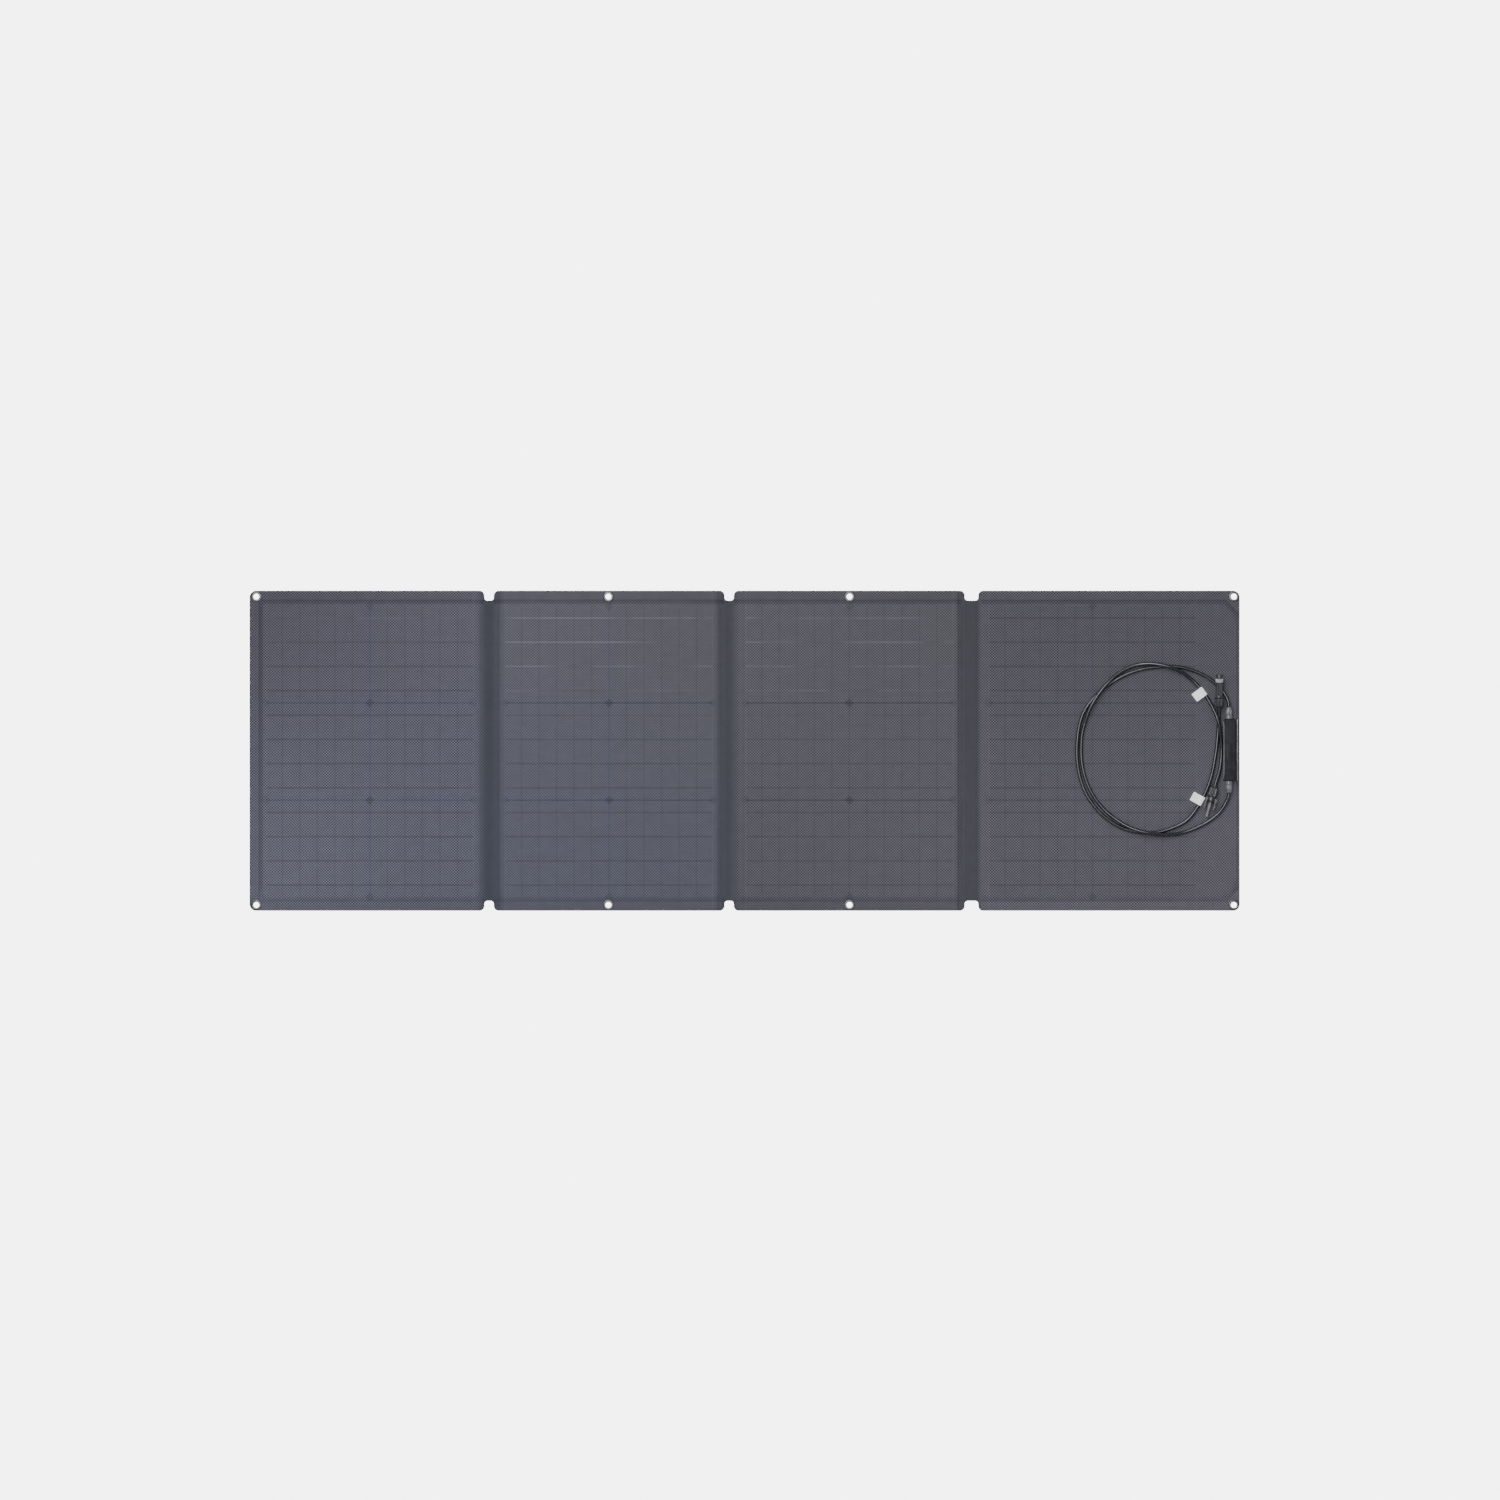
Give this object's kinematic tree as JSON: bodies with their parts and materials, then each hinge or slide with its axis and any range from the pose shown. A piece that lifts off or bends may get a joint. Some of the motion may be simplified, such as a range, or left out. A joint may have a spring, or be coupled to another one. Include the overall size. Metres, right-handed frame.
{
  "type": "folding solar sheet",
  "caption": "Folding laminated solar sheet with flexible fold strips, metal eyelets, a slim junction box and coiled leads ending in latching plugs.",
  "frame": {"origin": "centre of the open sheet, on the surface it lies on", "axes": "+X along the sheet towards the junction box, +Y towards the upper border, +Z out of the face"},
  "size_m": [1.602, 0.518, 0.0236],
  "materials": {
    "front_film": "satin embossed fluoropolymer film over dark cells",
    "rear_fabric": "dull black woven backing",
    "backing_board": "glass-fibre sheet",
    "cells": "dark blue silicon wafers with tinned ribbons",
    "eyelet_metal": "bright nickel plate",
    "copper_jumper": "tinned copper braid",
    "terminal_brass": "plain",
    "gasket_rubber": "soft",
    "box_plastic": "fine grain",
    "gland_plastic": "smooth",
    "diode_body": "smooth",
    "label_paper": "white synthetic paper",
    "cable_jacket": "satin black jacket",
    "plug_seal": "pale grey seal",
    "contact_metal": "tinned",
    "contact_tube": "dark grey tube",
    "plug_plastic": "satin black"
  },
  "bodies": {
    "leaf_4": {"front_film_4": "front_film", "cell_string_4": "cells", "backing_board_4": "backing_board", "rear_fabric_4": "rear_fabric", "eyelet_top_4": "eyelet_metal", "eyelet_bottom_4": "eyelet_metal", "eyelet_washer_top_4": "eyelet_metal", "eyelet_washer_bottom_4": "eyelet_metal", "bypass_diode": "diode_body", "cable_1": "cable_jacket", "cable_2": "cable_jacket", "cable_label_1": "label_paper", "cable_label_2": "label_paper", "gland_nut_lower": "gland_plastic", "gland_nut_upper": "gland_plastic", "junction_box_base": "box_plastic", "junction_box_gasket": "gasket_rubber", "junction_box_lid": "box_plastic", "plug_1_body": "plug_plastic", "plug_1_contact": "contact_tube", "plug_1_nut": "plug_plastic", "plug_2_body": "plug_plastic", "plug_2_contact": "contact_metal", "plug_2_nut": "plug_plastic", "plug_2_seal": "plug_seal", "terminal_minus": "terminal_brass", "terminal_plus": "terminal_brass"},
    "leaf_3": {"front_film_3": "front_film", "cell_string_3": "cells", "backing_board_3": "backing_board", "rear_fabric_3": "rear_fabric", "eyelet_top_3": "eyelet_metal", "eyelet_bottom_3": "eyelet_metal", "eyelet_washer_top_3": "eyelet_metal", "eyelet_washer_bottom_3": "eyelet_metal"},
    "leaf_2": {"front_film_2": "front_film", "cell_string_2": "cells", "backing_board_2": "backing_board", "rear_fabric_2": "rear_fabric", "eyelet_top_2": "eyelet_metal", "eyelet_bottom_2": "eyelet_metal", "eyelet_washer_top_2": "eyelet_metal", "eyelet_washer_bottom_2": "eyelet_metal"},
    "leaf_1": {"front_film_1": "front_film", "cell_string_1": "cells", "backing_board_1": "backing_board", "rear_fabric_1": "rear_fabric", "eyelet_top_1": "eyelet_metal", "eyelet_bottom_1": "eyelet_metal", "eyelet_washer_top_1": "eyelet_metal", "eyelet_washer_bottom_1": "eyelet_metal"},
    "spine_c": {"fold_film_c": "front_film", "fold_fabric_c": "rear_fabric", "fold_jumper_c": "copper_jumper"},
    "spine_b": {"fold_film_b": "front_film", "fold_fabric_b": "rear_fabric", "fold_jumper_b": "copper_jumper"},
    "spine_a": {"fold_film_a": "front_film", "fold_fabric_a": "rear_fabric", "fold_jumper_a": "copper_jumper"}
  },
  "joints": [
    {"name": "fold_c_spine", "type": "hinge", "parent": "leaf_4", "child": "spine_c", "pos_m": [0.37855, 0, 0.0011], "axis": [0, 1, 0], "range_deg": [0, 89]},
    {"name": "fold_c", "type": "hinge", "parent": "spine_c", "child": "leaf_3", "pos_m": [0.35555, 0, 0.0011], "axis": [0, 1, 0], "range_deg": [0, 89]},
    {"name": "fold_b_spine", "type": "hinge", "parent": "leaf_3", "child": "spine_b", "pos_m": [-0.02105, 0, 0.0011], "axis": [0, -1, 0], "range_deg": [0, 90]},
    {"name": "fold_b", "type": "hinge", "parent": "spine_b", "child": "leaf_2", "pos_m": [-0.02905, 0, 0.0011], "axis": [0, -1, 0], "range_deg": [0, 90]},
    {"name": "fold_a_spine", "type": "hinge", "parent": "leaf_2", "child": "spine_a", "pos_m": [-0.4094, 0, 0.0011], "axis": [0, 1, 0], "range_deg": [0, 90]},
    {"name": "fold_a", "type": "hinge", "parent": "spine_a", "child": "leaf_1", "pos_m": [-0.4174, 0, 0.0011], "axis": [0, 1, 0], "range_deg": [0, 90]}
  ],
  "couplings": [
    {"joint": "fold_c_spine", "follows": "fold_c", "ratio": 1},
    {"joint": "fold_b_spine", "follows": "fold_b", "ratio": 1},
    {"joint": "fold_a_spine", "follows": "fold_a", "ratio": 1}
  ]
}
